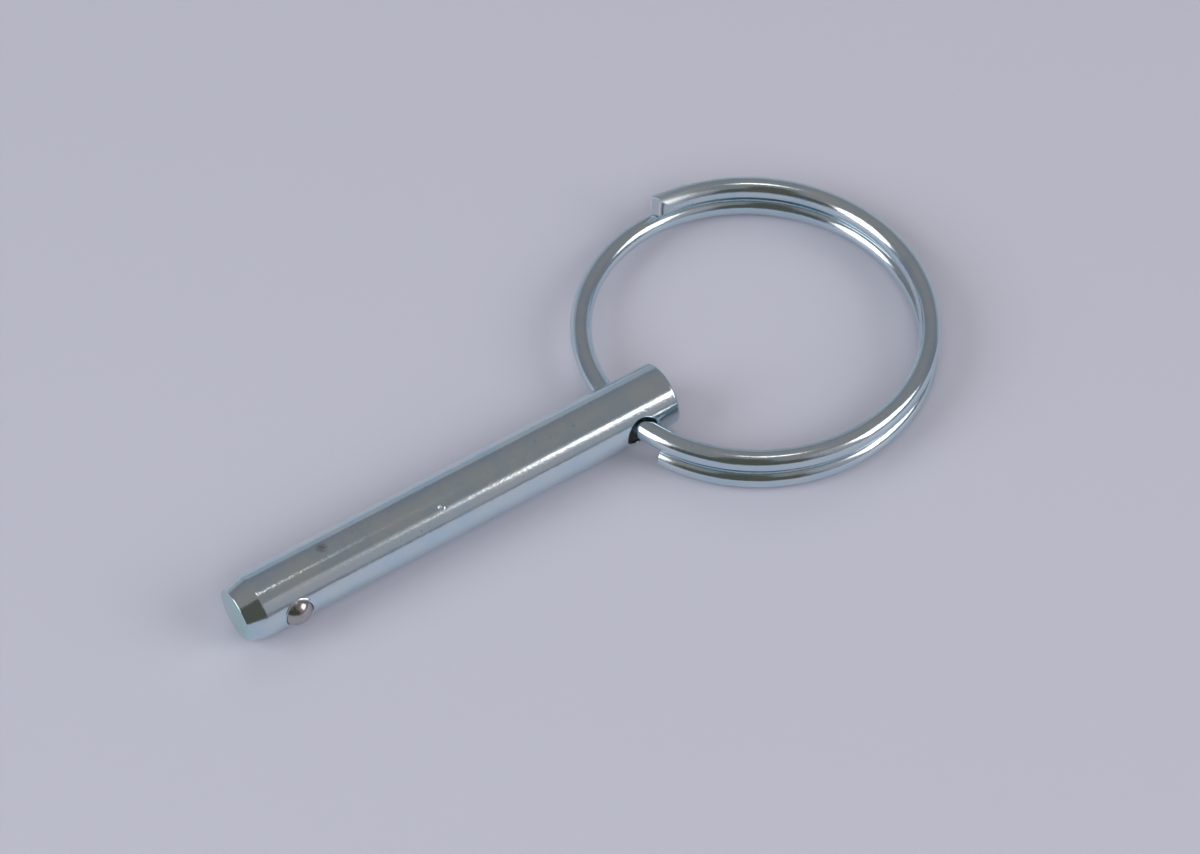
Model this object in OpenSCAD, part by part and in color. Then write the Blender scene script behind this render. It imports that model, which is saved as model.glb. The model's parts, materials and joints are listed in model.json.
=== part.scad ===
// Quick-release pin: a steel shank with a sprung detent ball near its nose
// and a split pull ring of round wire threaded through a cross hole in its head.
// The shank lies along X with its head towards +X. The ball faces -Y. Z is up.
// The origin is on the shank's axis, halfway along the grip between ball and ring hole.

/* [Shank] */
// Diameter of the shank
shank_d = 4.76; // [4:0.01:8]
// Length of the shank from its nose face to its head face
shank_l = 35.3; // [25:0.1:80]
// Length of the tapered lead-in at the nose
nose_taper_l = 1.45; // [0.5:0.05:2.2]
// Diameter of the flat face at the nose
nose_face_d = 3.85; // [2.5:0.05:3.9]
// Radius of the rounded edge at the head
head_round = 0.25; // [0.1:0.05:0.8]

/* [Detent ball] */
// Diameter of the ball
ball_d = 2.38; // [2:0.01:2.6]
// Distance of the ball's axis from the nose face
ball_from_nose = 3.8; // [3.2:0.1:8]
// Height of the ball above the shank at rest
ball_proud = 0.52; // [0.4:0.02:0.8]
// Gap between the ball and its pocket, all round
ball_clearance = 0.05; // [0.02:0.01:0.1]
// Wall left between the pocket's floor and the far side of the shank
pocket_floor = 1; // [0.5:0.1:1.2]

/* [Detent spring] */
// Diameter of the spring's wire
spring_wire_d = 0.28; // [0.2:0.01:0.3]
// Gap between the outside of the spring and its pocket
spring_clearance = 0.2; // [0.1:0.05:0.3]
// Gap at each end of the spring
spring_end_gap = 0.02; // [0.01:0.01:0.05]
// Turns of wire in the spring, with its two close end turns
spring_turns = 4.25; // [3.5:0.25:4.5]
// Gap between each end turn and the next
spring_close_gap = 0.03; // [0.02:0.01:0.05]

/* [Ring hole] */
// Diameter of the cross hole
ring_hole_d = 2.5; // [2.3:0.05:3]
// Distance of the cross hole's axis from the head face
ring_hole_from_head = 3.2; // [2.5:0.1:6]

/* [Pull ring] */
// Diameter of the ring's wire
ring_wire_d = 1.59; // [1.2:0.01:1.7]
// Diameter of the ring, measured to the middle of the wire
ring_mean_d = 25.4; // [20:0.1:40]
// Gap between one turn of the ring and the next
ring_turn_gap = 0.2; // [0.1:0.05:0.6]
// Arc of wire from the cross hole to the upper end, in degrees
ring_upper_arc = 263; // [200:1:300]
// Arc of wire from the cross hole to the lower end, in degrees
ring_lower_arc = 343; // [200:1:343]
// Gap between the wire and the nose side of the cross hole
ring_wall_gap = 0.1; // [0.06:0.01:0.15]
// Height of the wire above the cross hole's axis
ring_lift = 0.1; // [0:0.01:0.15]
// Distance of the ring's centre from the shank's axis, to the side away from the ball
ring_side_shift = 1.52; // [0:0.02:2]
// Sideways lean of the ring, in degrees
ring_lean = 0.95; // [0:0.05:1.5]

/* [Hidden] */
$fn = 96;
ROUND_SIDES = 18;
RING_STEP = 5;
SPRING_SIDES = 10;
SPRING_STEPS_PER_TURN = 20;
CUT_MARGIN = 1;

shank_r = shank_d / 2;
ball_r = ball_d / 2;
ring_hole_r = ring_hole_d / 2;
ring_wire_r = ring_wire_d / 2;
ring_r = ring_mean_d / 2;
spring_wire_r = spring_wire_d / 2;

// places along the shank, from the nose face, then from the middle of the grip
ring_hole_from_nose = shank_l - ring_hole_from_head;
grip_from = ball_from_nose + ball_r;
grip_to = ring_hole_from_nose - ring_hole_r;
nose_x = -(grip_from + grip_to) / 2;
ball_x = nose_x + ball_from_nose;
ring_hole_x = nose_x + ring_hole_from_nose;

// heights along the pocket, from the shank's axis outwards
pocket_r = ball_r + ball_clearance;
ball_out = shank_r + ball_proud - ball_r;
pocket_bottom = pocket_floor - shank_r;
lip_h = shank_r - ball_out;
lip_r = sqrt(pow(pocket_r, 2) - pow(lip_h, 2));

// the spring stands on the pocket's floor and its last turn bears on the ball
spring_coil_r = pocket_r - spring_clearance - spring_wire_r;
spring_reach = ball_r + spring_wire_r + spring_end_gap;
spring_from = pocket_bottom + spring_wire_r + spring_end_gap;
spring_to = ball_out - sqrt(pow(spring_reach, 2) - pow(spring_coil_r, 2));
spring_close_lead = spring_wire_d + spring_close_gap;
spring_open_lead = (spring_to - spring_from - 2 * spring_close_lead) / (spring_turns - 2);

// the ring's wire, measured from the middle of the cross hole
ring_lead = ring_wire_d + ring_turn_gap;
ring_centre_x = ring_r - (ring_hole_r - ring_wire_r - ring_wall_gap);
ring_hole_angle = 180 + asin(ring_side_shift / ring_r);
ring_arc = ring_upper_arc + ring_lower_arc;
ring_steps = ceil(ring_arc / RING_STEP);
ring_slope = ring_lead / (PI * ring_mean_d);

// One point of a wire's round section: angle q in the plane of the unit vectors u and v
function section_point(centre, u, v, r, q) = centre + r * (cos(q) * u + sin(q) * v);

// Arc already run from the ring's upper end at step i, in degrees
function ring_run(i) = ring_arc * i / ring_steps;

// Angle about the ring's centre at step i: the wire runs clockwise, seen from above
function ring_angle(i) = ring_hole_angle + ring_upper_arc - ring_run(i);

// Middle of the ring's wire at step i: a circle that drops by one lead in each turn
function ring_point(i) = [
    ring_centre_x + ring_r * cos(ring_angle(i)),
    ring_side_shift + ring_r * sin(ring_angle(i)),
    ring_lift + ring_lead * (ring_upper_arc - ring_run(i)) / 360
];

// Section of the ring's wire at step i, square to the wire's run
function ring_section(i) =
    let (a = ring_angle(i))
    let (outward = [cos(a), sin(a), 0])
    let (along = [sin(a), -cos(a), -ring_slope] / norm([1, ring_slope]))
    [for (k = [0:ROUND_SIDES - 1])
        section_point(ring_point(i), outward, cross(along, outward), ring_wire_r, 360 * k / ROUND_SIDES - 90)];

// Point p of the ring after its sideways lean, with the ball's side raised
function leaned(p) = [
    p.x,
    p.y * cos(ring_lean) + p.z * sin(ring_lean),
    p.z * cos(ring_lean) - p.y * sin(ring_lean)
];

// Dip of the ring about the cross hole at which its far half comes down level with the shank's underside
ring_rest_drop = shank_r - ring_wire_r;
ring_far_half = [for (i = [0:ring_steps]) if (ring_point(i).x > ring_r) leaned(ring_point(i))];
ring_dip = min([for (p = ring_far_half)
    acos(-ring_rest_drop / norm([p.x, p.z])) - atan2(p.x, p.z)]);

// Rise of the spring after u turns: close at both ends, open between
function spring_rise(u) =
    spring_close_lead * (min(u, 1) + max(u - (spring_turns - 1), 0))
    + spring_open_lead * max(min(u, spring_turns - 1) - 1, 0);

// Section of the spring's wire after u turns, in the plane of the spring's axis
function spring_section(u) =
    let (outward = [cos(360 * u), sin(360 * u), 0])
    let (centre = spring_coil_r * outward + [0, 0, spring_from + spring_rise(u)])
    [for (k = [0:SPRING_SIDES - 1])
        section_point(centre, outward, [0, 0, 1], spring_wire_r, 360 * k / SPRING_SIDES)];

// Solid through a row of closed sections with the same number of points, flat at both ends
module swept(sections) {
    sides = len(sections[0]);
    last = (len(sections) - 1) * sides;
    walls = [for (i = [0:len(sections) - 2]) for (k = [0:sides - 1])
        let (a = i * sides + k)
        let (b = i * sides + (k + 1) % sides)
        [a, b, b + sides, a + sides]];
    first_end = [for (k = [0:sides - 1]) sides - 1 - k];
    last_end = [for (k = [0:sides - 1]) last + k];
    polyhedron(points = [for (s = sections) each s], faces = concat([first_end], walls, [last_end]));
}

// Half of the shank's outline: radius across, distance from the nose face upwards
module shank_outline() {
    polygon([
        [0, 0],
        [nose_face_d / 2, 0],
        [shank_r, nose_taper_l],
        [shank_r, shank_l - head_round],
        [shank_r - head_round, shank_l - head_round],
        [shank_r - head_round, shank_l],
        [0, shank_l]
    ]);
    translate([shank_r - head_round, shank_l - head_round]) circle(head_round);
}

// Blind pocket for spring and ball, along +Z from the shank's axis, with its lip drawn in over the ball
module ball_pocket() {
    translate([0, 0, pocket_bottom]) cylinder(h = ball_out - pocket_bottom, r = pocket_r);
    translate([0, 0, ball_out]) cylinder(h = lip_h, r1 = pocket_r, r2 = lip_r);
    translate([0, 0, shank_r]) cylinder(h = CUT_MARGIN, r = lip_r);
}

// Turned and plated shank
module shank() {
    color("lightsteelblue") difference() {
        translate([nose_x, 0, 0]) rotate([0, 90, 0]) rotate_extrude() shank_outline();
        translate([ring_hole_x, 0, 0]) rotate([90, 0, 0])
            cylinder(h = shank_d + 2 * CUT_MARGIN, r = ring_hole_r, center = true);
        translate([ball_x, 0, 0]) rotate([90, 0, 0]) ball_pocket();
    }
}

// Steel ball, pushed out against the pocket's lip
module detent_ball() {
    color("silver") translate([ball_x, -ball_out, 0]) sphere(ball_r);
}

// Compression spring under the ball
module detent_spring() {
    steps = ceil(spring_turns * SPRING_STEPS_PER_TURN);
    color("gray") translate([ball_x, 0, 0]) rotate([90, 0, 0])
        swept([for (i = [0:steps]) spring_section(spring_turns * i / steps)]);
}

// Split pull ring, lying with its far half level with the shank's underside
module pull_ring() {
    color("lightsteelblue") translate([ring_hole_x, 0, 0])
        rotate([0, ring_dip, 0]) rotate([-ring_lean, 0, 0])
        swept([for (i = [0:ring_steps]) ring_section(i)]);
}

shank();
detent_ball();
detent_spring();
pull_ring();
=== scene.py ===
# Quick-release pin of plated steel: a turned shank, a sprung detent ball and a split ring of round wire.
import json
import math

import bpy
import numpy as np
from mathutils import Matrix, Vector


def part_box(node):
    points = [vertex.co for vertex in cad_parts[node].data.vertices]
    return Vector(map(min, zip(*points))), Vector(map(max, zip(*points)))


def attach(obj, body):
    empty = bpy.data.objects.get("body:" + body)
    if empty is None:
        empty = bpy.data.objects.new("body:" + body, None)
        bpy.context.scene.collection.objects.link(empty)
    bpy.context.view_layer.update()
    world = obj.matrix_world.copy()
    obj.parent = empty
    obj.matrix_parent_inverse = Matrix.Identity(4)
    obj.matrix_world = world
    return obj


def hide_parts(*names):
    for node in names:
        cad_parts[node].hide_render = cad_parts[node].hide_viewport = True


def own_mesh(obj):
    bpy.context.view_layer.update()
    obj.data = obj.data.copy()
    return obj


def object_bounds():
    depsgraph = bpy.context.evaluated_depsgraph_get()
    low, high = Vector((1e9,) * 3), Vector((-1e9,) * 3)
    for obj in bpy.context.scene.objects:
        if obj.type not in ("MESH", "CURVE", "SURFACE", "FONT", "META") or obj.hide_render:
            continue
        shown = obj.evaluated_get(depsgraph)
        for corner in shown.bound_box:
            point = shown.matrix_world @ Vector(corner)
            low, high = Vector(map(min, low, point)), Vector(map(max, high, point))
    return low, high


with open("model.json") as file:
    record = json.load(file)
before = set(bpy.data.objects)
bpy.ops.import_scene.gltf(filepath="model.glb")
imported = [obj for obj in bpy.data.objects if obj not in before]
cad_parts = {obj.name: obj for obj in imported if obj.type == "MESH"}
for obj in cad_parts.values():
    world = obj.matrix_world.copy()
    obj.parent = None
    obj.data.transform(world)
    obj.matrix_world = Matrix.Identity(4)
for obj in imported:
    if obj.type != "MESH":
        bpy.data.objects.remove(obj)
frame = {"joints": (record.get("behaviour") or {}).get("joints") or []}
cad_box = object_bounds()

MM = 0.001
FULL_TURN = 2 * math.pi
QUARTER_TURN = math.pi / 2

# Places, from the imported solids
shank_low, shank_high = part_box("shank")
ball_low, ball_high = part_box("detent_ball")
joints = {joint["name"]: joint for joint in frame["joints"]}
NOSE_X = shank_low.x
HEAD_X = shank_high.x
BALL_X = (ball_low.x + ball_high.x) / 2
BALL_OUT = -(ball_low.y + ball_high.y) / 2
RING_HOLE_X = joints["ring_swing"]["pos_m"][0]
FLOOR_Z = cad_box[0].z

# Shank
SHANK_R = 2.38 * MM
NOSE_FACE_R = 1.925 * MM
NOSE_TAPER_L = 1.45 * MM
NOSE_EDGE_ROUND = 0.07 * MM
SHOULDER_ROUND = 0.5 * MM
HEAD_ROUND = 0.25 * MM

# Cross hole for the ring
RING_HOLE_R = 1.25 * MM
HOLE_EDGE_ROUND = 0.17 * MM

# Ball, its pocket and the metal staked over it
BALL_R = 1.19 * MM
POCKET_R = 1.24 * MM
POCKET_FLOOR_Y = 1.38 * MM
LIP_R = math.sqrt(POCKET_R ** 2 - (SHANK_R - BALL_OUT) ** 2)
LIP_ROUND = 0.04 * MM
STAKE_OUTER_R = 1.30 * MM
STAKE_H = 0.03 * MM

# Spring under the ball, along the pocket from its floor outwards
SPRING_WIRE_R = 0.14 * MM
SPRING_COIL_R = 0.90 * MM
SPRING_FROM = -1.22 * MM
SPRING_TO = BALL_OUT - 1.006 * MM
SPRING_TURNS = 4.25
SPRING_CLOSE_LEAD = 0.31 * MM
SPRING_OPEN_LEAD = (SPRING_TO - SPRING_FROM - 2 * SPRING_CLOSE_LEAD) / (SPRING_TURNS - 2)
SPRING_TURN_L = FULL_TURN * SPRING_COIL_R
SPRING_EDGE_ROUND = 0.02 * MM

# Pull ring
WIRE_R = 0.795 * MM
RING_R = 12.7 * MM
TURN_GAP = 0.2 * MM
UPPER_ARC = math.radians(263)
LOWER_ARC = math.radians(343)
HOLE_WALL_GAP = 0.1 * MM
RING_LIFT = 0.1 * MM
SIDE_SHIFT = 1.52 * MM
RING_LEAN = math.radians(0.95)
WIRE_EDGE_ROUND = 0.05 * MM
RING_LEAD = 2 * WIRE_R + TURN_GAP
RING_ARC = UPPER_ARC + LOWER_ARC
RING_CENTRE_X = RING_R - (RING_HOLE_R - WIRE_R - HOLE_WALL_GAP)
RING_HOLE_ANGLE = math.pi + math.asin(SIDE_SHIFT / RING_R)
RING_SLOPE = RING_LEAD / (FULL_TURN * RING_R)

# Pinch cuts at the ends of the ring's wire
PINCH_REACH = 0.46 * MM
PINCH_OFF = 0.32 * MM
PINCH_SLOPE = 0.645
PINCH_EDGE = 0.04 * MM
BURR_OFF = -0.30 * MM
BURR_H = 0.15 * MM
BURR_WIDTH = 0.06 * MM
ROLLED_L = 0.6 * MM
SPREAD = 0.17
SPREAD_L = 0.4 * MM
LOWER_SHORT = 0.15 * MM
LOWER_SHARE = 0.25

# Sampling of the surfaces, in rows and columns of cells
AROUND_STEP = math.radians(2)
END_FACE_ROWS = 6
NOSE_EDGE_ROWS = 6
TAPER_ROWS = 8
SHOULDER_ROWS = 6
NECK_ROWS = 4
GRIP_ROWS = 40
HEAD_RUN_ROWS = 6
HEAD_ROUND_ROWS = 10
PATCH_HALF_ANGLE = math.radians(50)
PATCH_HALF_L = 1.76 * MM
PATCH_ROWS = 40
HOLE_SKIN_ROWS = 8
HOLE_EDGE_ROWS = 8
HOLE_WALL_ROWS = 16
POCKET_SKIN_ROWS = 6
STAKE_ROWS = 14
LIP_EDGE_ROWS = 4
LIP_CONE_ROWS = 4
POCKET_WALL_ROWS = 8
POCKET_FLOOR_ROWS = 4
BALL_ROWS = 60
BALL_COLUMNS = 120
CUT_EDGE_ROWS = 5
CUT_FACE_ROWS = 24
SPRING_ROWS = 204
SPRING_COLUMNS = 16
RING_ROWS = 606
RING_COLUMNS = 80
LIP_ROUNDS = 6
DIP_SAMPLES = 2000
DIFFERENCE = 1e-4
NORMAL_INSET = 1e-3
WELD = 1e-8


# Meshes

def stack(*parts):
    """Coordinates side by side, as points."""
    return np.stack(np.broadcast_arrays(*parts), axis=-1)


def between(start, end, share):
    """The value that lies at a share of the way from start to end."""
    return start + (end - start) * share


def sampled(surface, rows, columns, flip=False):
    """A surface of u and v, each from 0 to 1, on a grid of points with normals.

    A normal is the cross product of the surface's central differences along u and v. It is taken
    just inside the edges, so that a pole has one too. Flip turns the surface's other side out.
    """
    u, v = np.meshgrid(np.linspace(0, 1, rows + 1), np.linspace(0, 1, columns + 1), indexing="ij")
    near_u = np.clip(u, NORMAL_INSET, 1 - NORMAL_INSET)
    near_v = np.clip(v, NORMAL_INSET, 1 - NORMAL_INSET)
    along_u = surface(near_u + DIFFERENCE, near_v) - surface(near_u - DIFFERENCE, near_v)
    along_v = surface(near_u, near_v + DIFFERENCE) - surface(near_u, near_v - DIFFERENCE)
    normals = np.cross(along_u, along_v)
    normals /= np.linalg.norm(normals, axis=-1, keepdims=True)
    points = surface(u, v)
    return (points[::-1], -normals[::-1]) if flip else (points, normals)


def grid_quads(rows, columns):
    """Corner numbers of each cell of a grid of points."""
    corner = np.arange(rows * columns).reshape(rows, columns)
    cells = [corner[:-1, :-1], corner[1:, :-1], corner[1:, 1:], corner[:-1, 1:]]
    return np.stack(cells, axis=-1).reshape(-1, 4)


def welded_mesh(name, grids, laid_out):
    """One closed mesh from grids that share their edges.

    Points at the same place become one vertex with the mean normal, and a cell with a side of no
    length, as at a pole, becomes a triangle. Laid_out holds the same grids of a wire before it is
    bent, which its finish follows.
    """
    points = np.concatenate([p.reshape(-1, 3) for p, _ in grids])
    normals = np.concatenate([n.reshape(-1, 3) for _, n in grids])
    starts = np.cumsum([0] + [p.shape[0] * p.shape[1] for p, _ in grids])
    quads = np.concatenate([grid_quads(*p.shape[:2]) + s for (p, _), s in zip(grids, starts)])
    keys = np.round(points / WELD).astype(np.int64)
    _, first, vertex_of = np.unique(keys, axis=0, return_index=True, return_inverse=True)
    vertex_of = vertex_of.reshape(-1)
    mean = np.zeros((len(first), 3))
    np.add.at(mean, vertex_of, normals)
    mean /= np.linalg.norm(mean, axis=1, keepdims=True)
    quads = vertex_of[quads]
    flat_side = quads == np.roll(quads, -1, axis=1)
    at_pole = flat_side.any(axis=1)
    turn = (np.argmax(flat_side, axis=1)[:, None] + np.arange(1, 4)) % 4
    triangles = np.take_along_axis(quads, turn, axis=1)[at_pole]
    mesh = bpy.data.meshes.new(name)
    mesh.from_pydata(points[first].tolist(), [], quads[~at_pole].tolist() + triangles.tolist())
    mesh.polygons.foreach_set("use_smooth", np.ones(len(mesh.polygons), dtype=bool))
    mesh.update()
    mesh.normals_split_custom_set_from_vertices(mean.tolist())
    if laid_out:
        straight = np.concatenate([p.reshape(-1, 3) for p, _ in laid_out])[first]
        attribute = mesh.attributes.new("laid_out", "FLOAT_VECTOR", "POINT")
        attribute.data.foreach_set("vector", straight.ravel())
    return mesh


def add_piece(name, grids, material, body, node, laid_out=()):
    """A finished piece in place of a solid, hung from an empty for that solid's body; the solid is
    hidden.
    """
    mesh = welded_mesh(name, grids, laid_out)
    mesh.materials.append(material)
    piece = bpy.data.objects.new(name, mesh)
    bpy.context.collection.objects.link(piece)
    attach(piece, body)
    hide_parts(node)
    return piece


# Surfaces of the shank

def line(start, end):
    """Straight run of an outline (x, radius) from start to end."""
    return lambda u: (between(start[0], end[0], u), between(start[1], end[1], u))


def arc(centre, radius, start, end):
    """Round of an outline (x, radius) about a centre, from one angle to another, measured from +X."""
    def outline(u):
        angle = between(start, end, u)
        return centre[0] + radius * np.cos(angle), centre[1] + radius * np.sin(angle)
    return outline


def turned(outline, rows, start=-PATCH_HALF_ANGLE, end=FULL_TURN - PATCH_HALF_ANGLE):
    """Surface of revolution: the outline at u, carried round the X axis by v from the ball's side up."""
    def surface(u, v):
        x, r = outline(u)
        angle = between(start, end, v)
        return stack(x, -r * np.cos(angle), r * np.sin(angle))
    return sampled(surface, rows, round((end - start) / AROUND_STEP))


def skin_out(z):
    """Distance of the shank's skin from the shank's axis, measured along a cross hole at height z."""
    return np.sqrt(SHANK_R ** 2 - z ** 2)


def patch_edge(side):
    """One side of the square of skin round a hole, as (x from the hole's axis, z) at u."""
    corners = [(-1, -1), (1, -1), (1, 1), (-1, 1)]
    start_x, start_angle = corners[side]
    end_x, end_angle = corners[(side + 1) % 4]

    def edge(u):
        angle = PATCH_HALF_ANGLE * between(start_angle, end_angle, u)
        return PATCH_HALF_L * between(start_x, end_x, u), SHANK_R * np.sin(angle)
    return edge


def patch_columns(side):
    """Cells along one side of a patch: the even sides run along the shank, the odd ones round it."""
    return round(2 * PATCH_HALF_ANGLE / AROUND_STEP) if side % 2 else PATCH_ROWS


def hole_surface(hole_x, facing, edge, place):
    """Surface round a cross hole: the point at u of one side of the square, taken inwards by v.

    Place(edge radius, angle, v) gives the point's radius from the hole's axis and its distance from
    the shank's axis.
    """
    def surface(v, u):
        x, z = edge(u)
        angle = np.arctan2(z, x)
        radius, out = place(np.hypot(x, z), angle, v)
        return stack(hole_x + radius * np.cos(angle), facing * out, radius * np.sin(angle))
    return surface


def round_hole(hole_x, facing, steps):
    """Surfaces round a cross hole, in four quarters, from a square of skin inwards by steps."""
    flip = facing < 0
    return [
        sampled(hole_surface(hole_x, facing, patch_edge(side), place), rows, patch_columns(side), flip)
        for side in range(4)
        for place, rows in steps
    ]


def skin_to(rim_r):
    """The shank's skin, along straight lines from the square's edge to a circle round the hole."""
    def place(edge_r, angle, v):
        radius = between(edge_r, rim_r, v)
        return radius, skin_out(radius * np.sin(angle))
    return place


def hole_edge(edge_r, angle, v):
    """Quarter round from the skin into the ring's hole."""
    turn = QUARTER_TURN * v
    radius = RING_HOLE_R + HOLE_EDGE_ROUND * (1 - np.sin(turn))
    return radius, skin_out(radius * np.sin(angle)) - HOLE_EDGE_ROUND * (1 - np.cos(turn))


def hole_wall(edge_r, angle, v):
    """Wall of the ring's hole, straight through from one rounded edge to the other."""
    end = skin_out(RING_HOLE_R * np.sin(angle)) - HOLE_EDGE_ROUND
    return RING_HOLE_R + 0 * v, between(end, -end, v)


def lip_radius(angle):
    """Radius of the pocket's lip, where the cone that closes over the ball meets the skin.

    Each round takes the radius of the cone at the height of the skin that the last radius gave.
    """
    radius = LIP_R
    for _ in range(LIP_ROUNDS):
        out = skin_out(radius * np.sin(angle)) - LIP_ROUND
        radius = between(POCKET_R, LIP_R, (out - BALL_OUT) / (SHANK_R - BALL_OUT))
    return radius


def staked_ring(edge_r, angle, v):
    """Low round swell of the metal pressed over the ball, one wave of a cosine high."""
    radius = between(STAKE_OUTER_R, lip_radius(angle) + LIP_ROUND, v)
    return radius, skin_out(radius * np.sin(angle)) + STAKE_H * (1 - np.cos(FULL_TURN * v)) / 2


def lip_edge(edge_r, angle, v):
    """Quarter round from the swell into the pocket."""
    turn = QUARTER_TURN * v
    radius = lip_radius(angle) + LIP_ROUND * (1 - np.sin(turn))
    return radius, skin_out(radius * np.sin(angle)) - LIP_ROUND * (1 - np.cos(turn))


def lip_cone(edge_r, angle, v):
    """Inside of the lip, widening from its edge to the pocket's own radius beside the ball."""
    lip = lip_radius(angle)
    lip_out = skin_out(lip * np.sin(angle)) - LIP_ROUND
    return between(lip, POCKET_R, v), between(lip_out, BALL_OUT, v)


def pocket_wall(edge_r, angle, v):
    """Round wall of the pocket, down to its floor."""
    return POCKET_R + 0 * v, between(BALL_OUT, -POCKET_FLOOR_Y, v)


def pocket_floor(edge_r, angle, v):
    """Flat floor of the pocket, in to its middle."""
    return between(POCKET_R, 0, v), -POCKET_FLOOR_Y + 0 * v


def shank_grids():
    """The shank from nose to head.

    The rounds and straight runs of its outline are turned about its axis, and squares of skin are
    left out of them for the surfaces round its holes.
    """
    taper = math.atan2(SHANK_R - NOSE_FACE_R, NOSE_TAPER_L)
    slope = np.array([math.cos(taper), math.sin(taper)])
    nose_corner = np.array([NOSE_X, NOSE_FACE_R])
    shoulder = np.array([NOSE_X + NOSE_TAPER_L, SHANK_R])
    nose_back = NOSE_EDGE_ROUND * math.tan((QUARTER_TURN - taper) / 2)
    shoulder_back = SHOULDER_ROUND * math.tan(taper / 2)
    face_end = nose_corner - [0, nose_back]
    taper_start = nose_corner + nose_back * slope
    taper_end = shoulder - shoulder_back * slope
    grip_start = shoulder + [shoulder_back, 0]
    nose_centre = face_end + [NOSE_EDGE_ROUND, 0]
    shoulder_centre = grip_start - [0, SHOULDER_ROUND]
    head_centre = (HEAD_X - HEAD_ROUND, SHANK_R - HEAD_ROUND)
    lean = QUARTER_TURN + taper
    ball_from = (BALL_X - PATCH_HALF_L, SHANK_R)
    ball_to = (BALL_X + PATCH_HALF_L, SHANK_R)
    hole_from = (RING_HOLE_X - PATCH_HALF_L, SHANK_R)
    hole_to = (RING_HOLE_X + PATCH_HALF_L, SHANK_R)
    head_start = (HEAD_X - HEAD_ROUND, SHANK_R)
    near = PATCH_HALF_ANGLE
    far = math.pi - PATCH_HALF_ANGLE
    through = [(skin_to(RING_HOLE_R + HOLE_EDGE_ROUND), HOLE_SKIN_ROWS), (hole_edge, HOLE_EDGE_ROWS)]
    pocket = [
        (skin_to(STAKE_OUTER_R), POCKET_SKIN_ROWS),
        (staked_ring, STAKE_ROWS),
        (lip_edge, LIP_EDGE_ROWS),
        (lip_cone, LIP_CONE_ROWS),
        (pocket_wall, POCKET_WALL_ROWS),
        (pocket_floor, POCKET_FLOOR_ROWS),
    ]
    return [
        turned(line((NOSE_X, 0), face_end), END_FACE_ROWS),
        turned(arc(nose_centre, NOSE_EDGE_ROUND, math.pi, lean), NOSE_EDGE_ROWS),
        turned(line(taper_start, taper_end), TAPER_ROWS),
        turned(arc(shoulder_centre, SHOULDER_ROUND, lean, QUARTER_TURN), SHOULDER_ROWS),
        turned(line(grip_start, ball_from), NECK_ROWS),
        turned(line(ball_from, ball_to), PATCH_ROWS, near, FULL_TURN - near),
        turned(line(ball_to, hole_from), GRIP_ROWS),
        turned(line(hole_from, hole_to), PATCH_ROWS, near, far),
        turned(line(hole_from, hole_to), PATCH_ROWS, math.pi + near, math.pi + far),
        turned(line(hole_to, head_start), HEAD_RUN_ROWS),
        turned(arc(head_centre, HEAD_ROUND, QUARTER_TURN, 0), HEAD_ROUND_ROWS),
        turned(line((HEAD_X, SHANK_R - HEAD_ROUND), (HEAD_X, 0)), END_FACE_ROWS),
        *round_hole(BALL_X, -1, pocket),
        *round_hole(RING_HOLE_X, -1, through + [(hole_wall, HOLE_WALL_ROWS)]),
        *round_hole(RING_HOLE_X, 1, through),
    ]


# Surface of the ball

def ball_surface(u, v):
    """Sphere: from its outermost point to its innermost by u, and once about the press axis by v."""
    polar = math.pi * u
    turn = FULL_TURN * v
    across = BALL_R * np.sin(polar)
    out = BALL_OUT + BALL_R * np.cos(polar)
    return stack(BALL_X + across * np.cos(turn), -out, across * np.sin(turn))


# Surfaces of the wires

def wire_skin(wire, radius, start, end, rows, columns):
    """Skin of a wire: the circle of its section at v, carried along its path from start to end by u."""
    def surface(u, v):
        q = FULL_TURN * v
        return wire(between(start(radius, q), end(radius, q), u), radius, q)
    return sampled(surface, rows, columns)


def wire_end(wire, radius, edge, at, inward, columns):
    """End of a wire: a quarter round at its edge, then the cut face in to the middle.

    The cut's place along the path, at(radius, angle), may lean or carry a burr. Inward is the
    direction along the path from the cut into the wire, 1 or -1.
    """
    def rounded(u, v):
        q = FULL_TURN * v
        turn = QUARTER_TURN * u
        rho = radius - edge * (1 - np.cos(turn))
        return wire(at(rho, q) + inward * edge * (1 - np.sin(turn)), rho, q)

    def face(u, v):
        q = FULL_TURN * v
        rho = between(radius - edge, 0, u)
        return wire(at(rho, q), rho, q)
    flip = inward > 0
    return [sampled(rounded, CUT_EDGE_ROWS, columns, flip), sampled(face, CUT_FACE_ROWS, columns, flip)]


def wire_grids(wire, radius, edge, start, end, rows, columns):
    """Skin and both ends of a wire. The skin stops short of each cut by the round of its edge."""
    def skin_start(rho, q):
        return start(rho, q) + edge

    def skin_end(rho, q):
        return end(rho, q) - edge
    return [
        wire_skin(wire, radius, skin_start, skin_end, rows, columns),
        *wire_end(wire, radius, edge, start, 1, columns),
        *wire_end(wire, radius, edge, end, -1, columns),
    ]


def straight_wire(run, rho, q):
    """Point of a wire before it is bent: its run lies along X, and its section is square to X."""
    return stack(run, rho * np.cos(q), rho * np.sin(q))


def turned_about(points, axis, angle):
    """Points turned about a main axis through the origin, by the right-hand rule."""
    a = (axis + 1) % 3
    b = (axis + 2) % 3
    moved = points.copy()
    moved[..., a] = points[..., a] * np.cos(angle) - points[..., b] * np.sin(angle)
    moved[..., b] = points[..., a] * np.sin(angle) + points[..., b] * np.cos(angle)
    return moved


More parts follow.
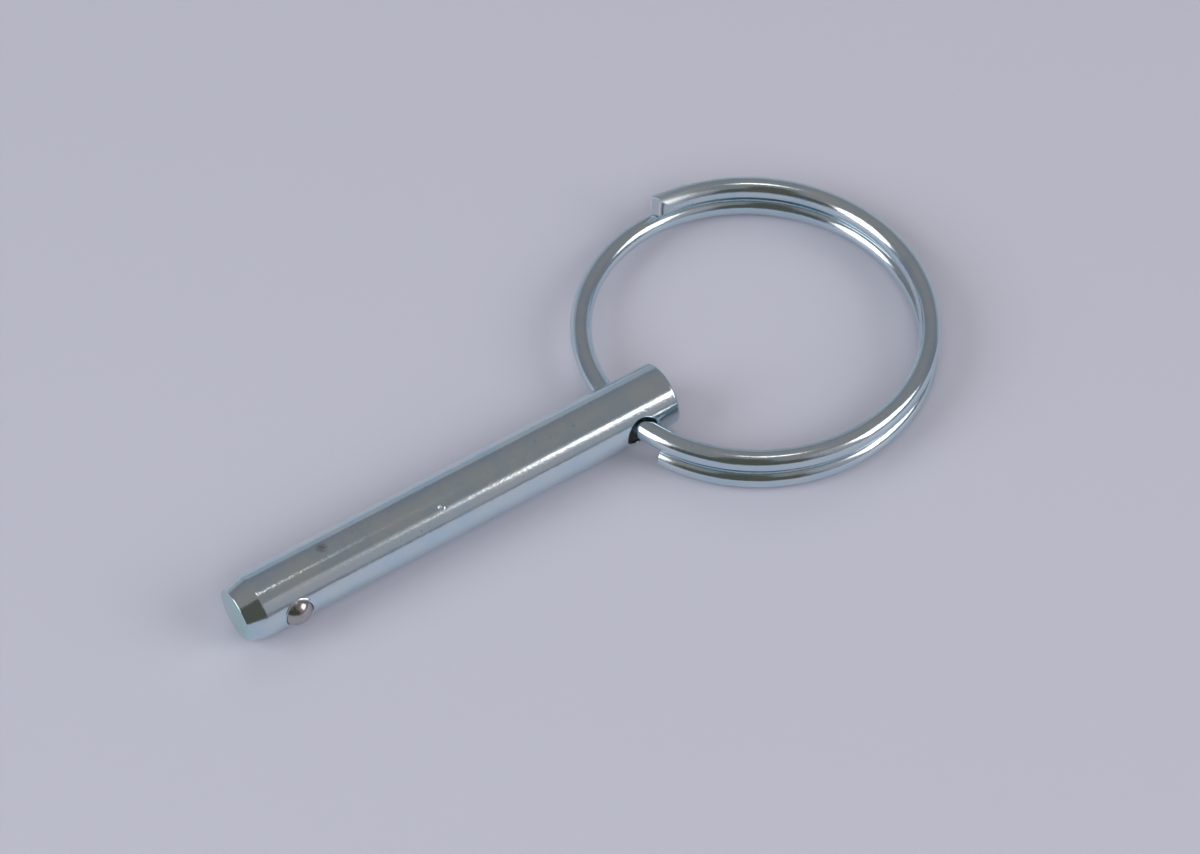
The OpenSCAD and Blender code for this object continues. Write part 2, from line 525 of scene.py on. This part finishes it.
def ring_coil(run, rho, q):
    """Point of the ring's wire before it lies down: a circle that drops by one lead in each turn.

    Run is a length along it from the upper end. The wire's section is square to it, and rho and q
    are polar in the section.
    """
    angle = RING_HOLE_ANGLE + UPPER_ARC - run / RING_R
    zero = 0 * angle
    outward = stack(np.cos(angle), np.sin(angle), zero)
    along = stack(np.sin(angle), -np.cos(angle), zero - RING_SLOPE) / math.hypot(1, RING_SLOPE)
    middle = stack(RING_CENTRE_X + RING_R * np.cos(angle),
                   SIDE_SHIFT + RING_R * np.sin(angle),
                   RING_LIFT + RING_LEAD * (UPPER_ARC - run / RING_R) / FULL_TURN)
    across = np.cross(outward, along)
    rho, q = np.broadcast_arrays(rho, q)
    return middle + (rho * np.cos(q))[..., None] * outward + (rho * np.sin(q))[..., None] * across


def ring_dip():
    """Turn about the cross hole that brings the ring's far half level with the shank's underside."""
    run = np.linspace(0, RING_ARC * RING_R, DIP_SAMPLES)
    middle = ring_coil(run, 0 * run, 0 * run)
    leaned = turned_about(middle[middle[:, 0] > RING_R], 0, -RING_LEAN)
    x = leaned[:, 0]
    z = leaned[:, 2]
    return np.min(np.arccos((WIRE_R - SHANK_R) / np.hypot(x, z)) - np.arctan2(x, z))


RING_DIP = ring_dip()


def spread(run, rho, q):
    """Distance from the wire's middle, drawn out up and down near the upper cut.

    The cutter squeezed the wire there, and the spread dies away along the wire.
    """
    return rho * (1 + SPREAD * np.exp(-np.maximum(run, 0) / SPREAD_L) * np.sin(q) ** 2)


def ring_wire(run, rho, q):
    """Point of the ring's wire as it lies: leaned sideways, dipped about the cross hole, moved to it."""
    coil = ring_coil(run, spread(run, rho, q), q)
    lying = turned_about(turned_about(coil, 0, -RING_LEAN), 1, RING_DIP)
    return lying + np.array([RING_HOLE_X, 0, 0])


def pinched(rho, q):
    """Reach of a pinched cut beyond a square one.

    Two slopes meet in an edge across the wire, a thin burr stands where the inner slope starts, and
    inside the burr the skin is rolled back along a quarter of an ellipse.
    """
    off = rho * np.cos(q)
    slopes = PINCH_REACH - PINCH_SLOPE * np.hypot(off - PINCH_OFF, PINCH_EDGE)
    burr = BURR_H * np.exp(-((off - BURR_OFF) / BURR_WIDTH) ** 2)
    inner = np.clip((BURR_OFF - off) / (WIRE_R + BURR_OFF), 0, 1)
    return slopes + burr - ROLLED_L * (1 - np.sqrt(1 - inner ** 2))


def ring_upper_cut(rho, q):
    """Place of the ring's upper cut along its wire."""
    return -pinched(rho, q)


def ring_lower_cut(rho, q):
    """Place of the ring's lower cut along its wire, nearly square."""
    return RING_ARC * RING_R - LOWER_SHORT + LOWER_SHARE * pinched(rho, q)


def spring_wire(run, rho, q):
    """Point of the spring's wire: a coil along the pocket, close at both ends and open between.

    Run is a length along it from the pocket's floor.
    """
    turns = run / SPRING_TURN_L
    angle = FULL_TURN * turns
    close = np.minimum(turns, 1) + np.maximum(turns - (SPRING_TURNS - 1), 0)
    open_turns = np.clip(turns - 1, 0, SPRING_TURNS - 2)
    rise = SPRING_FROM + SPRING_CLOSE_LEAD * close + SPRING_OPEN_LEAD * open_turns
    radius = SPRING_COIL_R + rho * np.cos(q)
    return stack(BALL_X + radius * np.cos(angle), -(rise + rho * np.sin(q)), radius * np.sin(angle))


def spring_lower_cut(rho, q):
    """Place of the cut at the pocket's floor along the spring's wire."""
    return 0 * rho * q


def spring_upper_cut(rho, q):
    """Place of the cut at the ball along the spring's wire."""
    return SPRING_TURNS * SPRING_TURN_L + 0 * rho * q


# Colours of the finishes, among them a painted highlight and a painted shadow
ZINC_BLUE = (0.59, 0.74, 0.815, 1)
ZINC_GREY = (0.66, 0.765, 0.80, 1)
SPECK_GREY = (0.34, 0.38, 0.40, 1)
FACE_TEAL = (0.47, 0.76, 0.71, 1)
# Painted shade: the darker grey that the bores' colour turns to with depth
BORE_PAINTED_SHADE_GREY = (0.37, 0.36, 0.345, 1)
SMUDGE_DARK = (0.33, 0.33, 0.35, 1)
CUT_PALE = (0.71, 0.78, 0.88, 1)
# Painted highlight along the burr, and painted shadow at its root
BURR_PAINTED_HIGHLIGHT = (0.95, 0.97, 0.98, 1)
BURR_ROOT_PAINTED_SHADOW = (0.20, 0.23, 0.25, 1)
BALL_DARK = (0.42, 0.41, 0.405, 1)
BALL_PALE = (0.50, 0.49, 0.48, 1)
SPRING_DARK = (0.30, 0.30, 0.31, 1)
SPRING_PALE = (0.46, 0.46, 0.47, 1)

# Places of tints and marks, and of a painted highlight and a painted shadow
FACE_TINT_X = (NOSE_X + 0.01 * MM, NOSE_X + 0.06 * MM)
FACE_TEAL_Y = (-1.6 * MM, 1.8 * MM)
SMUDGE_AT = (-10.8 * MM, 0.12 * MM, 2.37 * MM)
SMUDGE_R = 0.6 * MM
NICK_AT = (-1.70 * MM, -1.40 * MM, 1.92 * MM)
NICK_R = 0.13 * MM
SCUFF_AT = (-2.05 * MM, -1.22 * MM, 2.04 * MM)
SCUFF_R = 0.22 * MM
# Depth under the skin over which the bores turn rougher, less metallic and darker; the darker colour is
# painted shade
BORE_SHADE_AND_DULL_FROM = 0.12 * MM
BORE_SHADE_AND_DULL_OVER = 0.35 * MM
CUT_OFF_MIDDLE = (0.86 * WIRE_R, 0.96 * WIRE_R)
CUT_OUTWARD = (BURR_OFF - BURR_WIDTH, BURR_OFF)
UPPER_CUT_RUN = (0.5 * MM, 0.7 * MM)
DULL_END_RUN = (0, 4.5 * MM)
# Width of the painted highlight along the burr, and place and width of the painted shadow at its root
BURR_HIGHLIGHT_WIDTH = 1.6 * BURR_WIDTH
BURR_SHADOW_OFF = BURR_OFF - 0.13 * MM
BURR_SHADOW_WIDTH = 0.10 * MM

# Scales of the patterns, in features to the metre, with their detail and how they are drawn out
NOISE_DETAIL = 3
NOISE_ROUGHNESS = 0.6
STREAK_DETAIL = 4
CLOUD_SCALE = 420
SPECK_SCALE = 2900
SPECK_DETAIL = 2
BAR_STREAK_SCALE = 2600
BAR_STREAK_STRETCH = (0.07, 1, 1)
BAR_GRAIN_SCALE = 7500
BAR_GRAIN_STRETCH = (0.6, 1, 1)
WIRE_STREAK_SCALE = 3200
WIRE_STREAK_STRETCH = (0.06, 1, 1)
WIRE_GRAIN_SCALE = 7000
WIRE_GRAIN_STRETCH = (0.5, 1, 1)
HAZE_SCALE = 1500
HAZE_DETAIL = 4
BALL_MARK_SCALE = 5000
BALL_MARK_STRETCH = (1, 0.25, 0.6)
SPRING_MARK_SCALE = 6000

# Spans of the patterns' values, and the shares that they become
RISING = (0, 1)
FALLING = (1, 0)
WHOLE_SPAN = (0, 1)
BROAD_SPAN = (0.3, 0.7)
MIDDLE_SPAN = (0.35, 0.65)
SPECK_SPAN = (0.66, 0.76)
SPECK_SHARE = (0, 0.5)
STREAK_SPECK_SPAN = (0.4, 0.7)
STREAK_SPECK_SHARE = (0.4, 1)
FACE_TEAL_SHARE = (1, 0.35)
SMUDGE_SPAN = (0.3, 0.6)
SMUDGE_SHARE = (0.4, 1)
SCUFF_SPAN = (0.45, 0.6)
BORE_BARE_SHARE = (1, 0.75)

# Roughness and relief of the finishes
BAR_ROUGHNESS = (0.08, 0.13)
BORE_ROUGHER = 0.25
WIRE_ROUGHNESS = (0.11, 0.18)
CUT_ROUGHER = 0.2
DULL_END_ROUGHER = (0.3, 0)
BALL_ROUGHNESS = (0.15, 0.22)
SPRING_ROUGHNESS = (0.26, 0.4)
BAR_RELIEF = 0.006 * MM
WIRE_RELIEF = 0.005 * MM
BALL_RELIEF = 0.0015 * MM
SPRING_RELIEF = 0.001 * MM
STREAK_SHARE = 0.8
DENT_SHARE = 5.4

# Sockets of the node that mixes two colours
MIX_SHARE = 0
MIX_FIRST = 6
MIX_SECOND = 7
MIX_RESULT = 2


# Finishes

def add_node(tree, kind, inputs=None, **settings):
    """Adds a node with its settings and inputs. An input given as another node's output is linked."""
    made = tree.nodes.new(kind)
    for name, value in settings.items():
        setattr(made, name, value)
    for name, value in (inputs or {}).items():
        if isinstance(value, bpy.types.NodeSocket):
            tree.links.new(value, made.inputs[name])
        else:
            made.inputs[name].default_value = value
    return made


def new_material(name):
    """An empty node material."""
    material = bpy.data.materials.new(name)
    material.use_nodes = True
    material.node_tree.nodes.clear()
    return material, material.node_tree


def object_place(tree):
    """Place of a point in its piece, which is also its place in the part."""
    return add_node(tree, "ShaderNodeTexCoord").outputs["Object"]


def noise(tree, place, scale, detail=NOISE_DETAIL, stretch=(1, 1, 1)):
    """Soft random value at a place, drawn out along an axis where stretch is below 1."""
    drawn_out = add_node(tree, "ShaderNodeMapping", {"Vector": place, "Scale": stretch})
    inputs = {"Vector": drawn_out.outputs["Vector"], "Scale": scale, "Detail": detail,
              "Roughness": NOISE_ROUGHNESS}
    return add_node(tree, "ShaderNodeTexNoise", inputs).outputs["Fac"]


def ramp(tree, value, span, result):
    """Value taken from a span to a result along a smooth curve, and held at its ends."""
    inputs = {"Value": value, "From Min": span[0], "From Max": span[1],
              "To Min": result[0], "To Max": result[1]}
    made = add_node(tree, "ShaderNodeMapRange", inputs, interpolation_type="SMOOTHSTEP")
    return made.outputs["Result"]


def mixed(tree, share, first, second):
    """Colour at a share of the way from the first to the second."""
    inputs = {MIX_SHARE: share, MIX_FIRST: first, MIX_SECOND: second}
    return add_node(tree, "ShaderNodeMix", inputs, data_type="RGBA").outputs[MIX_RESULT]


def math_node(tree, operation, *values):
    """Values joined by an operation."""
    made = add_node(tree, "ShaderNodeMath", dict(enumerate(values)), operation=operation)
    return made.outputs["Value"]


def spot(tree, place, middle, radius):
    """One at a point of the piece, falling smoothly to nothing at a radius."""
    apart = add_node(tree, "ShaderNodeVectorMath", {0: place, 1: middle}, operation="DISTANCE")
    return ramp(tree, apart.outputs["Value"], (0, radius), FALLING)


def band(tree, value, middle, width):
    """One at a value, falling smoothly to nothing at a width to either side of it."""
    apart = math_node(tree, "ABSOLUTE", math_node(tree, "SUBTRACT", value, middle))
    return ramp(tree, apart, (0, width), FALLING)


def metal(tree, colour, roughness, height, depth, bare=1.0):
    """Metal surface with its colour and roughness from patterns, and a fine relief of the given depth.

    Bare falls below one where a film covers the metal.
    """
    relief = add_node(tree, "ShaderNodeBump", {"Height": height, "Distance": depth})
    inputs = {"Base Color": colour, "Metallic": bare, "Roughness": roughness,
              "Normal": relief.outputs["Normal"]}
    shader = add_node(tree, "ShaderNodeBsdfPrincipled", inputs)
    add_node(tree, "ShaderNodeOutputMaterial", {"Surface": shader.outputs["BSDF"]})


def zinc_film(tree, place, streaks):
    """Colour of bright zinc: blue and grey clouds of its film, with sparse dark specks along streaks."""
    clouds = noise(tree, place, CLOUD_SCALE)
    film = mixed(tree, ramp(tree, clouds, MIDDLE_SPAN, RISING), ZINC_BLUE, ZINC_GREY)
    specks = ramp(tree, noise(tree, place, SPECK_SCALE, SPECK_DETAIL), SPECK_SPAN, SPECK_SHARE)
    in_streaks = ramp(tree, streaks, STREAK_SPECK_SPAN, STREAK_SPECK_SHARE)
    return mixed(tree, math_node(tree, "MULTIPLY", specks, in_streaks), film, SPECK_GREY)


def zinc_on_bar():
    """Bright zinc plate on drawn bar: long faint streaks and a fine grain.

    It is teal on the nose face. In the bores it is rougher and less metallic, and its colour turns
    to a darker grey with depth, as painted shade. It has one nick, a scuff beside it and one dark
    smudge.
    """
    material, tree = new_material("zinc_on_bar")
    place = object_place(tree)
    axes = add_node(tree, "ShaderNodeSeparateXYZ", {"Vector": place})
    in_bore = add_node(tree, "ShaderNodeAttribute", attribute_name="in_bore").outputs["Fac"]
    streaks = noise(tree, place, BAR_STREAK_SCALE, STREAK_DETAIL, BAR_STREAK_STRETCH)
    grain = noise(tree, place, BAR_GRAIN_SCALE, stretch=BAR_GRAIN_STRETCH)

    on_face = ramp(tree, axes.outputs["X"], FACE_TINT_X, FALLING)
    across_face = ramp(tree, axes.outputs["Y"], FACE_TEAL_Y, FACE_TEAL_SHARE)
    teal = math_node(tree, "MULTIPLY", on_face, across_face)
    smudged = spot(tree, place, SMUDGE_AT, SMUDGE_R)
    smudge = math_node(tree, "MULTIPLY", smudged, ramp(tree, grain, SMUDGE_SPAN, SMUDGE_SHARE))
    tinted = mixed(tree, teal, zinc_film(tree, place, streaks), FACE_TEAL)
    marked = mixed(tree, smudge, tinted, SMUDGE_DARK)
    # Painted shade: the colour turns to a darker grey deeper in the bores
    colour = mixed(tree, in_bore, marked, BORE_PAINTED_SHADE_GREY)

    skin_roughness = ramp(tree, streaks, BROAD_SPAN, BAR_ROUGHNESS)
    roughness = math_node(tree, "MULTIPLY_ADD", in_bore, BORE_ROUGHER, skin_roughness)

    nick = spot(tree, place, NICK_AT, NICK_R)
    scuffed = spot(tree, place, SCUFF_AT, SCUFF_R)
    scuff = math_node(tree, "MULTIPLY", scuffed, ramp(tree, grain, SCUFF_SPAN, RISING))
    dents = math_node(tree, "MULTIPLY", math_node(tree, "ADD", nick, scuff), DENT_SHARE)
    plain = math_node(tree, "MULTIPLY_ADD", streaks, STREAK_SHARE, grain)
    height = math_node(tree, "SUBTRACT", plain, dents)

    bare = ramp(tree, in_bore, WHOLE_SPAN, BORE_BARE_SHARE)
    metal(tree, colour, roughness, height, BAR_RELIEF, bare)
    return material


def zinc_on_wire():
    """Bright zinc plate on drawn wire: streaks along the wire and a faint grain.

    It is duller on the cuts and towards the upper end. At the upper cut a near-white painted highlight
    lies along the burr, and a dark painted shadow lies at the burr's root.
    """
    material, tree = new_material("zinc_on_wire")
    place = add_node(tree, "ShaderNodeAttribute", attribute_name="laid_out").outputs["Vector"]
    axes = add_node(tree, "ShaderNodeSeparateXYZ", {"Vector": place})
    run = axes.outputs["X"]
    outward = axes.outputs["Y"]
    section = add_node(tree, "ShaderNodeMapping", {"Vector": place, "Scale": (0, 1, 1)})
    length = add_node(tree, "ShaderNodeVectorMath", {0: section.outputs["Vector"]}, operation="LENGTH")
    off_middle = length.outputs["Value"]
    streaks = noise(tree, place, WIRE_STREAK_SCALE, STREAK_DETAIL, WIRE_STREAK_STRETCH)
    grain = noise(tree, place, WIRE_GRAIN_SCALE, stretch=WIRE_GRAIN_STRETCH)

    cut = ramp(tree, off_middle, CUT_OFF_MIDDLE, FALLING)
    on_cut = math_node(tree, "MULTIPLY", cut, ramp(tree, outward, CUT_OUTWARD, RISING))
    upper_cut = math_node(tree, "MULTIPLY", cut, ramp(tree, run, UPPER_CUT_RUN, FALLING))
    # Painted highlight: a near-white band along the burr at the upper cut
    burr = math_node(tree, "MULTIPLY", upper_cut, band(tree, outward, BURR_OFF, BURR_HIGHLIGHT_WIDTH))
    # Painted shadow: a dark band at the burr's root
    burr_shadow = math_node(tree, "MULTIPLY", upper_cut, band(tree, outward, BURR_SHADOW_OFF, BURR_SHADOW_WIDTH))
    plated = mixed(tree, on_cut, zinc_film(tree, place, streaks), CUT_PALE)
    colour = mixed(tree, burr, mixed(tree, burr_shadow, plated, BURR_ROOT_PAINTED_SHADOW), BURR_PAINTED_HIGHLIGHT)

    dull_end = ramp(tree, run, DULL_END_RUN, DULL_END_ROUGHER)
    skin_roughness = math_node(tree, "ADD", dull_end, ramp(tree, streaks, BROAD_SPAN, WIRE_ROUGHNESS))
    roughness = math_node(tree, "MULTIPLY_ADD", on_cut, CUT_ROUGHER, skin_roughness)

    height = math_node(tree, "MULTIPLY_ADD", streaks, STREAK_SHARE, grain)
    metal(tree, colour, roughness, height, WIRE_RELIEF)
    return material


def ball_polish():
    """Hardened ball, ground and polished: warm grey with a faint haze and fine marks."""
    material, tree = new_material("ball_polish")
    place = object_place(tree)
    haze = noise(tree, place, HAZE_SCALE, HAZE_DETAIL)
    marks = noise(tree, place, BALL_MARK_SCALE, stretch=BALL_MARK_STRETCH)
    colour = mixed(tree, ramp(tree, haze, MIDDLE_SPAN, RISING), BALL_DARK, BALL_PALE)
    metal(tree, colour, ramp(tree, marks, BROAD_SPAN, BALL_ROUGHNESS), marks, BALL_RELIEF)
    return material


def spring_finish():
    """Hard-drawn spring wire: dark grey with drawing marks."""
    material, tree = new_material("spring_finish")
    marks = noise(tree, object_place(tree), SPRING_MARK_SCALE)
    colour = mixed(tree, ramp(tree, marks, BROAD_SPAN, RISING), SPRING_DARK, SPRING_PALE)
    metal(tree, colour, ramp(tree, marks, BROAD_SPAN, SPRING_ROUGHNESS), marks, SPRING_RELIEF)
    return material


def mark_bores(piece):
    """Writes how deep each point lies under the shank's skin, as a share that is 0 on the end faces."""
    count = len(piece.data.vertices)
    points = np.empty(3 * count)
    piece.data.vertices.foreach_get("co", points)
    x, y, z = points.reshape(-1, 3).T
    under = np.clip((SHANK_R - np.hypot(y, z) - BORE_SHADE_AND_DULL_FROM) / BORE_SHADE_AND_DULL_OVER, 0, 1)
    inside = (x > BALL_X - PATCH_HALF_L) & (x < RING_HOLE_X + PATCH_HALF_L)
    values = np.where(inside, under, 0).astype(np.float32)
    piece.data.attributes.new("in_bore", "FLOAT", "POINT").data.foreach_set("value", values)


# Pieces

shank = add_piece("shank_plated", shank_grids(), zinc_on_bar(), "shank", "shank")
mark_bores(shank)

ball_grid = sampled(ball_surface, BALL_ROWS, BALL_COLUMNS)
add_piece("detent_ball_polished", [ball_grid], ball_polish(), "ball", "detent_ball")

spring_shape = (SPRING_WIRE_R, SPRING_EDGE_ROUND, spring_lower_cut, spring_upper_cut,
                SPRING_ROWS, SPRING_COLUMNS)
spring = add_piece("detent_spring_wound", wire_grids(spring_wire, *spring_shape), spring_finish(),
                   "shank", "detent_spring")
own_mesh(spring)

ring_shape = (WIRE_R, WIRE_EDGE_ROUND, ring_upper_cut, ring_lower_cut, RING_ROWS, RING_COLUMNS)
add_piece("pull_ring_plated", wire_grids(ring_wire, *ring_shape), zinc_on_wire(), "ring",
          "pull_ring", wire_grids(straight_wire, *ring_shape))


# Camera

CAMERA_PLACE = Vector((-74.98, -133.36, 208.27)) * MM
CAMERA_TARGET = Vector((12.89, 1.37, -2.38)) * MM
CAMERA_ROLL = math.radians(-0.227)
LENS_MM = 110.4
SENSOR_MM = 36
CLIP_START = 0.01

camera = bpy.data.cameras.new("camera")
camera.lens = LENS_MM
camera.sensor_width = SENSOR_MM
camera.clip_start = CLIP_START
camera_object = bpy.data.objects.new("camera", camera)
bpy.context.collection.objects.link(camera_object)
aim = (CAMERA_TARGET - CAMERA_PLACE).to_track_quat("-Z", "Y").to_matrix().to_4x4()
camera_roll = Matrix.Rotation(CAMERA_ROLL, 4, "Z")
camera_object.matrix_world = Matrix.Translation(CAMERA_PLACE) @ aim @ camera_roll
bpy.context.scene.camera = camera_object
camera_back = CAMERA_PLACE - CAMERA_TARGET
CAMERA_HEADING = math.atan2(camera_back.x, -camera_back.y)


# Colours of the stage
FLOOR_COLOUR = (0.474, 0.488, 0.562, 1)
ROOM_LOW = (0.205, 0.202, 0.235, 1)
ROOM_HIGH = (0.275, 0.253, 0.252, 1)
SHADE_COLOUR = (0.097, 0.092, 0.077, 1)
SWEEP_COLOUR = (0.355, 0.375, 0.42, 1)
PANEL_WARM = (1.0, 0.877, 0.845)
FILL_COOL = (0.945, 0.96, 0.98)

# Floor and room
FLOOR_HALF = 1.5
FLOOR_GRAIN_SCALE = 300
FLOOR_ROUGHNESS = (0.45, 0.55)
FLOOR_SHINE = 0.3
ROOM_SPAN = (0.3, 0.97)

# Standing cards, each with its azimuths, distance and height
DARK_SHADE = ((-22, 13), 0.5, 1.05)
LOW_SHADE = ((-46, 30), 0.45, 0.28)
BACK_SWEEP = ((120, 240), 0.45, 0.1)

# Lamps, each at an azimuth, an elevation and a distance, with its width and height
PANEL_RADIANCE = 2.6
RIGHT_PANEL_AT = (77, 32.5, 0.813)
RIGHT_PANEL_SIZE = (0.486, 0.52)
RIGHT_PANEL_PITCH = -32.5
RIGHT_PANEL_ROLL = 9
LEFT_PANEL_AT = (-71.5, 26.5, 0.188)
LEFT_PANEL_SIZE = (0.16, 0.215)
LEFT_PANEL_PITCH = -12
TOP_PANEL_AT = (102, 84.4, 0.804)
TOP_PANEL_SIZE = (0.116, 0.2)
TOP_PANEL_ROLL = -16
RIGHT_GLOW_AT = (54, 27.5, 0.25)
RIGHT_GLOW_SIZE = (0.15, 0.205)
RIGHT_GLOW_RADIANCE = 0.155

# The two lamps of a soft panel
EDGE_SHARE = 0.15
CORE_SHARE = 0.85
CORE_SIZE = 0.88
CORE_DISTANCE = 0.98

# Fills for the floor, each with its azimuth, elevation and radiance
FILL_DISTANCE = 0.7
FILL_SIZE = (0.5, 0.5)
FILLS = {
    "right_fill": (77, 34, 1.7),
    "left_fill": (-72, 34, 4.3),
    "front_fill": (0, 45, 2.7),
    "back_fill": (180, 50, 0.9),
}


# Stage

def studio_place(azimuth, elevation, distance):
    """Point round the part, by its azimuth to the right of the camera's side, elevation and distance."""
    turn = math.radians(azimuth) + CAMERA_HEADING
    rise = math.radians(elevation)
    flat = distance * math.cos(rise)
    return Vector((flat * math.sin(turn), -flat * math.cos(turn), distance * math.sin(rise)))


def add_card(name, corners, material):
    """A flat stage piece."""
    mesh = bpy.data.meshes.new(name)
    mesh.from_pydata(corners, [], [(0, 1, 2, 3)])
    mesh.materials.append(material)
    card = bpy.data.objects.new(name, mesh)
    bpy.context.collection.objects.link(card)
    return card


def add_floor():
    """A broad sheet of pale paper under the part, with a faint change of sheen."""
    material, tree = new_material("floor_paper")
    grain = noise(tree, object_place(tree), FLOOR_GRAIN_SCALE)
    inputs = {"Base Color": FLOOR_COLOUR, "Specular IOR Level": FLOOR_SHINE,
              "Roughness": ramp(tree, grain, BROAD_SPAN, FLOOR_ROUGHNESS)}
    shader = add_node(tree, "ShaderNodeBsdfPrincipled", inputs)
    add_node(tree, "ShaderNodeOutputMaterial", {"Surface": shader.outputs["BSDF"]})
    signs = [(-1, -1), (1, -1), (1, 1), (-1, 1)]
    add_card("floor", [(x * FLOOR_HALF, y * FLOOR_HALF, FLOOR_Z) for x, y in signs], material)


def standing_card(name, azimuths, distance, height, colour):
    """An upright card of even brightness that shows only in the part's reflections."""
    material, tree = new_material(name)
    glow = add_node(tree, "ShaderNodeEmission", {"Color": colour})
    add_node(tree, "ShaderNodeOutputMaterial", {"Surface": glow.outputs["Emission"]})
    low = [studio_place(azimuth, 0, distance) + Vector((0, 0, FLOOR_Z)) for azimuth in azimuths]
    high = [corner + Vector((0, 0, height)) for corner in reversed(low)]
    card = add_card(name, low + high, material)
    card.visible_camera = False
    card.visible_diffuse = False
    card.visible_shadow = False


def lamp(name, at, size, radiance, colour, pitch=0, roll=0, square=False):
    """A flat light of even radiance, oval or square, at an azimuth, elevation and distance.

    It faces the part, tipped forward by its pitch, with its left end up by its roll.
    """
    azimuth, elevation, _ = at
    width, height = size
    light = bpy.data.lights.new(name, "AREA")
    light.shape = "RECTANGLE" if square else "ELLIPSE"
    light.size = width
    light.size_y = height
    light.color = colour
    area = width * height * (1 if square else math.pi / 4)
    light.energy = radiance * math.pi * area
    made = bpy.data.objects.new(name, light)
    bpy.context.collection.objects.link(made)
    towards = -studio_place(azimuth, elevation + pitch, 1)
    facing = towards.to_track_quat("-Z", "Y").to_matrix().to_4x4()
    rolled = Matrix.Rotation(math.radians(roll), 4, "Z")
    made.matrix_world = Matrix.Translation(studio_place(*at)) @ facing @ rolled
    made.visible_camera = False
    return made


def soft_panel(name, at, size, pitch, roll=0, square=False):
    """A soft box: a wide lamp and a smaller, brighter one in front of it, so that its edges fade."""
    azimuth, elevation, distance = at
    width, height = size
    core_at = (azimuth, elevation, CORE_DISTANCE * distance)
    core_size = (CORE_SIZE * width, CORE_SIZE * height)
    turn = (pitch, roll, square)
    edge = lamp(name + "_edge", at, size, EDGE_SHARE * PANEL_RADIANCE, PANEL_WARM, *turn)
    core = lamp(name + "_core", core_at, core_size, CORE_SHARE * PANEL_RADIANCE, PANEL_WARM, *turn)
    return edge, core


def fill(name, azimuth, elevation, radiance):
    """A broad light for the floor that the metal doesn't reflect."""
    made = lamp(name, (azimuth, elevation, FILL_DISTANCE), FILL_SIZE, radiance, FILL_COOL)
    made.visible_glossy = False


def light_room():
    """An even room round the stage, a little warmer overhead."""
    world = bpy.data.worlds.new("studio")
    bpy.context.scene.world = world
    world.use_nodes = True
    tree = world.node_tree
    direction = add_node(tree, "ShaderNodeTexCoord").outputs["Generated"]
    height = add_node(tree, "ShaderNodeSeparateXYZ", {"Vector": direction}).outputs["Z"]
    colour = mixed(tree, ramp(tree, height, ROOM_SPAN, RISING), ROOM_LOW, ROOM_HIGH)
    tree.links.new(colour, tree.nodes["Background"].inputs["Color"])


add_floor()
standing_card("dark_shade", *DARK_SHADE, SHADE_COLOUR)
standing_card("low_shade", *LOW_SHADE, SHADE_COLOUR)
standing_card("back_sweep", *BACK_SWEEP, SWEEP_COLOUR)
soft_panel("right_panel", RIGHT_PANEL_AT, RIGHT_PANEL_SIZE, RIGHT_PANEL_PITCH, RIGHT_PANEL_ROLL,
           square=True)
for part in soft_panel("left_panel", LEFT_PANEL_AT, LEFT_PANEL_SIZE, LEFT_PANEL_PITCH):
    part.visible_diffuse = False
lamp("right_glow", RIGHT_GLOW_AT, RIGHT_GLOW_SIZE, RIGHT_GLOW_RADIANCE, PANEL_WARM)
lamp("top_panel", TOP_PANEL_AT, TOP_PANEL_SIZE, PANEL_RADIANCE, PANEL_WARM, roll=TOP_PANEL_ROLL)
for name, setting in FILLS.items():
    fill(name, *setting)
light_room()

bpy.context.scene.view_settings.view_transform = "Standard"
